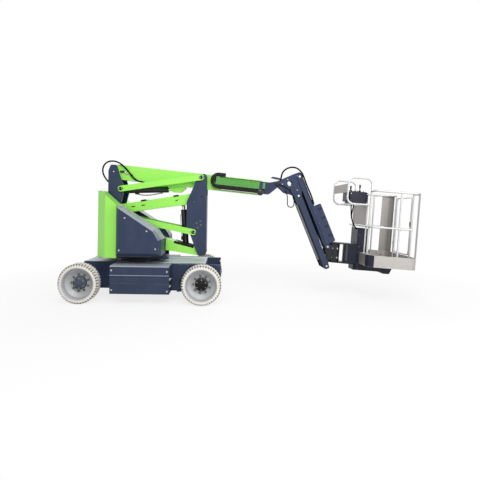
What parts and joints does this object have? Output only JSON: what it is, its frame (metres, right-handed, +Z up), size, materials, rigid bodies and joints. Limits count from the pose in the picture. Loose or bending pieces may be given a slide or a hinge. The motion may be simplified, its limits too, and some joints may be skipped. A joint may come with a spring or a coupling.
{
  "type": "articulated boom lift",
  "caption": "Battery-driven articulated boom lift with a two-stage riser, a telescopic boom, a parallel jib and a rotating aluminium platform, bright green and navy, folded for travel",
  "frame": {"origin": "ground under the middle of the machine as parked, folded for travel", "axes": "+X from the steered wheels to the platform, +Y to the far side, +Z up"},
  "size_m": [5.1321, 1.5, 2.064],
  "materials": {
    "tyre": "matte",
    "rim_grey": "satin",
    "green": "gloss",
    "dark_green": "satin",
    "navy": "satin",
    "cast_black": "satin",
    "chrome": "polished",
    "cylinder_black": "gloss",
    "chain_plastic": "matte",
    "aluminium": "brushed",
    "rail_white": "gloss",
    "hose_rubber": "matte"
  },
  "bodies": {
    "base": {"steer_frame": "navy", "chassis": "navy", "tie_downs": "navy", "steer_axle": "cast_black", "drive_motors": "cast_black", "side_boxes": "navy", "slew_ring": "cast_black"},
    "wheel_steer_near": {"tyre_steer_near": "tyre", "rim_steer_near": "rim_grey"},
    "wheel_steer_far": {"tyre_steer_far": "tyre", "rim_steer_far": "rim_grey"},
    "wheel_drive_near": {"tyre_drive_near": "tyre", "rim_drive_near": "rim_grey"},
    "wheel_drive_far": {"tyre_drive_far": "tyre", "rim_drive_far": "rim_grey"},
    "knuckle_near": {"knuckle_near": "cast_black"},
    "knuckle_far": {"knuckle_far": "cast_black"},
    "tie_rod": {"tie_rod": "cast_black"},
    "turntable": {"turntable": "navy", "tail_cover": "green", "side_panels": "navy", "counterweight": "cast_black", "power_unit": "cast_black"},
    "lower_arm": {"lower_arm": "green"},
    "lower_links": {"lower_links": "green"},
    "mast": {"mast": "navy"},
    "upper_arm": {"upper_arm": "green"},
    "upper_links": {"upper_links": "green"},
    "riser_barrel": {"riser_barrel": "cylinder_black"},
    "riser_rod": {"riser_rod": "chrome"},
    "boom_carrier": {"boom_carrier": "navy", "rear_hose": "hose_rubber"},
    "boom_outer": {"boom_outer": "green", "chain_run": "chain_plastic", "chain_tray": "cast_black"},
    "boom_barrel": {"boom_barrel": "cylinder_black"},
    "boom_rod": {"boom_rod": "chrome"},
    "boom_inner": {"boom_inner": "navy", "hose_beam": "dark_green"},
    "chain_bend": {"chain_bend": "chain_plastic"},
    "head": {"head_bracket": "navy", "hose_loop": "hose_rubber", "jib_hose": "hose_rubber"},
    "jib_arm": {"jib_arm": "navy"},
    "jib_link": {"jib_link": "navy"},
    "jib_barrel": {"jib_barrel": "cylinder_black"},
    "jib_rod": {"jib_rod": "chrome"},
    "jib_bracket": {"jib_bracket": "cast_black"},
    "platform": {"platform_support": "cast_black", "platform_floor": "aluminium", "platform_rails": "rail_white", "corner_posts": "aluminium", "back_sheet": "aluminium", "hoop_plate": "aluminium", "control_box": "cast_black", "platform_hose_far": "hose_rubber", "platform_hose_near": "hose_rubber"},
    "gate": {"gate": "rail_white"}
  },
  "joints": [
    {"name": "roll_steer_near", "type": "hinge", "parent": "knuckle_near", "child": "wheel_steer_near", "pos_m": [-2.287, -0.661, 0.2795], "axis": [0, 1, 0], "continuous": true},
    {"name": "roll_steer_far", "type": "hinge", "parent": "knuckle_far", "child": "wheel_steer_far", "pos_m": [-2.287, 0.661, 0.2795], "axis": [0, 1, 0], "continuous": true},
    {"name": "roll_drive_near", "type": "hinge", "parent": "base", "child": "wheel_drive_near", "pos_m": [-0.582, -0.661, 0.2795], "axis": [0, 1, 0], "continuous": true},
    {"name": "roll_drive_far", "type": "hinge", "parent": "base", "child": "wheel_drive_far", "pos_m": [-0.582, 0.661, 0.2795], "axis": [0, 1, 0], "continuous": true},
    {"name": "steering", "type": "hinge", "parent": "base", "child": "knuckle_near", "pos_m": [-2.287, -0.462, 0.28], "axis": [0, 0, 1], "range_deg": [-35, 35]},
    {"name": "steering_far", "type": "hinge", "parent": "base", "child": "knuckle_far", "pos_m": [-2.287, 0.462, 0.28], "axis": [0, 0, 1], "range_deg": [-35, 35]},
    {"name": "track_rod", "type": "hinge", "parent": "knuckle_near", "child": "tie_rod", "pos_m": [-2.157, -0.462, 0.185], "axis": [0, 0, 1], "range_deg": [-35.1, 35.1]},
    {"name": "slew", "type": "hinge", "parent": "base", "child": "turntable", "pos_m": [-1.56, 0, 0.58], "axis": [0, 0, 1], "range_deg": [-177, 177]},
    {"name": "riser", "type": "hinge", "parent": "turntable", "child": "lower_arm", "pos_m": [-1.825, 0, 0.92], "axis": [0, -1, 0], "range_deg": [0, 60]},
    {"name": "riser_lower_link", "type": "hinge", "parent": "turntable", "child": "lower_links", "pos_m": [-1.954, 0, 1.227], "axis": [0, -1, 0], "range_deg": [0, 60.1]},
    {"name": "riser_mast", "type": "hinge", "parent": "lower_arm", "child": "mast", "pos_m": [-0.61492, 0, 0.6782], "axis": [0, -1, 0], "range_deg": [-60.1, 0]},
    {"name": "riser_upper_arm", "type": "hinge", "parent": "mast", "child": "upper_arm", "pos_m": [-0.744, 0, 1.497], "axis": [0, 1, 0], "range_deg": [0, 60.1]},
    {"name": "riser_upper_link", "type": "hinge", "parent": "mast", "child": "upper_links", "pos_m": [-0.631, 0, 1.818], "axis": [0, 1, 0], "range_deg": [0, 60.1]},
    {"name": "riser_head", "type": "hinge", "parent": "upper_arm", "child": "boom_carrier", "pos_m": [-1.96331, 0, 1.30715], "axis": [0, 1, 0], "range_deg": [-60.1, 0]},
    {"name": "riser_cylinder", "type": "hinge", "parent": "lower_arm", "child": "riser_barrel", "pos_m": [-0.868, 0, 0.765], "axis": [0, -1, 0], "range_deg": [-59.29, 0]},
    {"name": "riser_stroke", "type": "slide", "parent": "riser_barrel", "child": "riser_rod", "axis": [-0.072, 0, 0.9974], "range_m": [0, 0.46022]},
    {"name": "boom_lift", "type": "hinge", "parent": "boom_carrier", "child": "boom_outer", "pos_m": [-1.966, 0, 1.945], "axis": [0, -1, 0], "range_deg": [0, 76]},
    {"name": "boom_cylinder", "type": "hinge", "parent": "boom_carrier", "child": "boom_barrel", "pos_m": [-1.84, 0, 1.608], "axis": [0, -1, 0], "range_deg": [0, 69.19]},
    {"name": "boom_stroke", "type": "slide", "parent": "boom_barrel", "child": "boom_rod", "axis": [0.9995, 0, 0.0327], "range_m": [0, 0.4273]},
    {"name": "boom_extend", "type": "slide", "parent": "boom_outer", "child": "boom_inner", "axis": [0.9954, 0, -0.0958], "range_m": [0, 0.9], "deforming": ["chain_run"]},
    {"name": "chain_travel", "type": "slide", "parent": "boom_outer", "child": "chain_bend", "axis": [0.9954, 0, -0.0958], "range_m": [0, 0.4505]},
    {"name": "head_level", "type": "hinge", "parent": "boom_inner", "child": "head", "pos_m": [0.54, 0, 1.745], "axis": [0, -1, 0], "range_deg": [-76.1, 0]},
    {"name": "jib", "type": "hinge", "parent": "head", "child": "jib_arm", "pos_m": [0.863, 0, 1.561], "axis": [0, -1, 0], "range_deg": [0, 135]},
    {"name": "jib_linkage", "type": "hinge", "parent": "head", "child": "jib_link", "pos_m": [0.875, 0, 1.858], "axis": [0, -1, 0], "range_deg": [0, 135.1]},
    {"name": "jib_level", "type": "hinge", "parent": "jib_arm", "child": "jib_bracket", "pos_m": [1.30768, 0, 0.48745], "axis": [0, -1, 0], "range_deg": [-135.1, 0]},
    {"name": "jib_cylinder", "type": "hinge", "parent": "head", "child": "jib_barrel", "pos_m": [0.869, 0, 1.711], "axis": [0, -1, 0], "range_deg": [0, 135.31]},
    {"name": "jib_stroke", "type": "slide", "parent": "jib_barrel", "child": "jib_rod", "axis": [0.3563, 0, -0.9344], "range_m": [-0.27786, 0]},
    {"name": "platform_rotate", "type": "hinge", "parent": "jib_bracket", "child": "platform", "pos_m": [1.44, 0, 0.7], "axis": [0.0645, 0, 0.9979], "range_deg": [-70, 70]},
    {"name": "gate", "type": "hinge", "parent": "platform", "child": "gate", "pos_m": [2.48252, 0.29, 0.63258], "axis": [-0.0645, 0, -0.9979], "range_deg": [0, 90]}
  ],
  "couplings": [
    {"joint": "steering_far", "follows": "steering", "ratio": 1},
    {"joint": "track_rod", "follows": "steering", "ratio": -1},
    {"joint": "riser_lower_link", "follows": "riser", "ratio": 1},
    {"joint": "riser_mast", "follows": "riser", "ratio": -1},
    {"joint": "riser_upper_arm", "follows": "riser", "ratio": 1},
    {"joint": "riser_upper_link", "follows": "riser", "ratio": 1},
    {"joint": "riser_head", "follows": "riser", "ratio": -1},
    {"joint": "riser_cylinder", "follows": "riser", "ratio": -0.98645},
    {"joint": "riser_stroke", "follows": "riser", "m_per_rad": 0.439},
    {"joint": "boom_cylinder", "follows": "boom_lift", "ratio": 0.90905},
    {"joint": "boom_stroke", "follows": "boom_lift", "m_per_rad": 0.32176},
    {"joint": "head_level", "follows": "boom_lift", "ratio": -1},
    {"joint": "chain_travel", "follows": "boom_extend", "ratio": 0.5},
    {"joint": "jib_linkage", "follows": "jib", "ratio": 1},
    {"joint": "jib_level", "follows": "jib", "ratio": -1},
    {"joint": "jib_cylinder", "follows": "jib", "ratio": 1.0015},
    {"joint": "jib_stroke", "follows": "jib", "m_per_rad": -0.11772}
  ]
}
